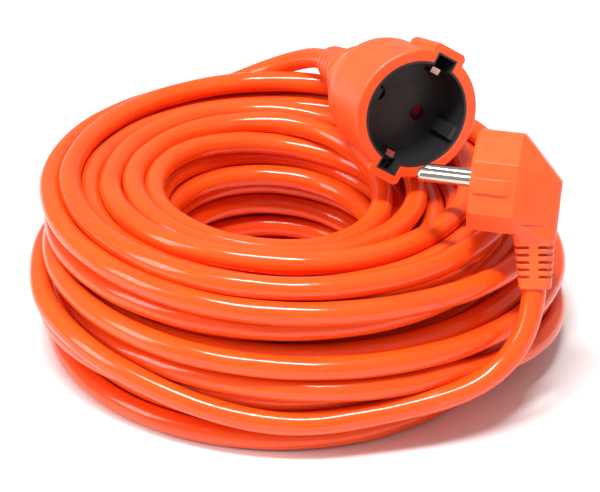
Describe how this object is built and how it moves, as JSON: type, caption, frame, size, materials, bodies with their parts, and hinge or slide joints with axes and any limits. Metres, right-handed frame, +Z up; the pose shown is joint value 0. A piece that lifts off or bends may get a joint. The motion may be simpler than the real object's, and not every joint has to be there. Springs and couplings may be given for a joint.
{
  "type": "extension cord",
  "caption": "Coiled orange mains extension cord with an earthed shuttered socket coupler at one end and an angled two-pin earthed plug at the other, both resting on the coil.",
  "frame": {"origin": "on the floor under the middle of the model's plan box, which is the coil's own axis", "axes": "+Z up from the floor, along the coil's axis; -Y towards the side where the plug's cord comes down and the socket looks out; +X towards the plug"},
  "size_m": [0.208, 0.208, 0.1169],
  "materials": {
    "orange_sheath": "glossy soft PVC cord sheath, bright orange",
    "orange_moulding": "satin moulded soft PVC, bright orange",
    "black_plastic": "satin black moulded plastic with faint mould marks",
    "grey_plastic": "plain grey moulded plastic",
    "red_plastic": "dark red moulded plastic",
    "nickel": "nickel-plated brass, bright with fine draw lines",
    "steel": "plain drawn steel",
    "brass": "bare spring brass",
    "tinned_copper": "dull tinned copper",
    "brown_insulation": "smooth brown PVC",
    "blue_insulation": "smooth blue PVC",
    "green_yellow_insulation": "smooth PVC with green and yellow stripes"
  },
  "bodies": {
    "cord_set": {"cord_coil": "orange_sheath", "cord_socket_end": "orange_sheath", "cord_plug_end": "orange_sheath", "socket_shell": "orange_moulding", "socket_boot": "orange_moulding", "socket_insert": "black_plastic", "contact_carrier": "grey_plastic", "shutter_pivot": "steel", "shutter_spring": "steel", "socket_line_contact": "brass", "socket_neutral_contact": "brass", "socket_earth_strip": "nickel", "socket_line_crimp": "tinned_copper", "socket_neutral_crimp": "tinned_copper", "socket_earth_crimp": "tinned_copper", "socket_brown_core": "brown_insulation", "socket_blue_core": "blue_insulation", "socket_earth_core": "green_yellow_insulation", "socket_sheath": "orange_sheath", "plug_body": "orange_moulding", "plug_strain_relief": "orange_moulding", "plug_face_block": "black_plastic", "plug_line_pin": "nickel", "plug_neutral_pin": "nickel", "plug_earth_strip": "nickel", "plug_earth_tube": "nickel", "plug_line_crimp": "tinned_copper", "plug_neutral_crimp": "tinned_copper", "plug_earth_crimp": "tinned_copper", "plug_brown_core": "brown_insulation", "plug_blue_core": "blue_insulation", "plug_earth_core": "green_yellow_insulation", "plug_sheath": "orange_sheath"},
    "shutter": {"shutter": "red_plastic"}
  },
  "joints": [
    {"name": "shutter_turn", "type": "hinge", "parent": "cord_set", "child": "shutter", "pos_m": [0.03544, 0.0127, 0.088], "axis": [0.3634, -0.9178, 0.1599], "range_deg": [0, 42], "stiffness_Nm_per_rad": 0.002, "springref_deg": -20.05, "deforming": ["shutter_spring"]}
  ]
}
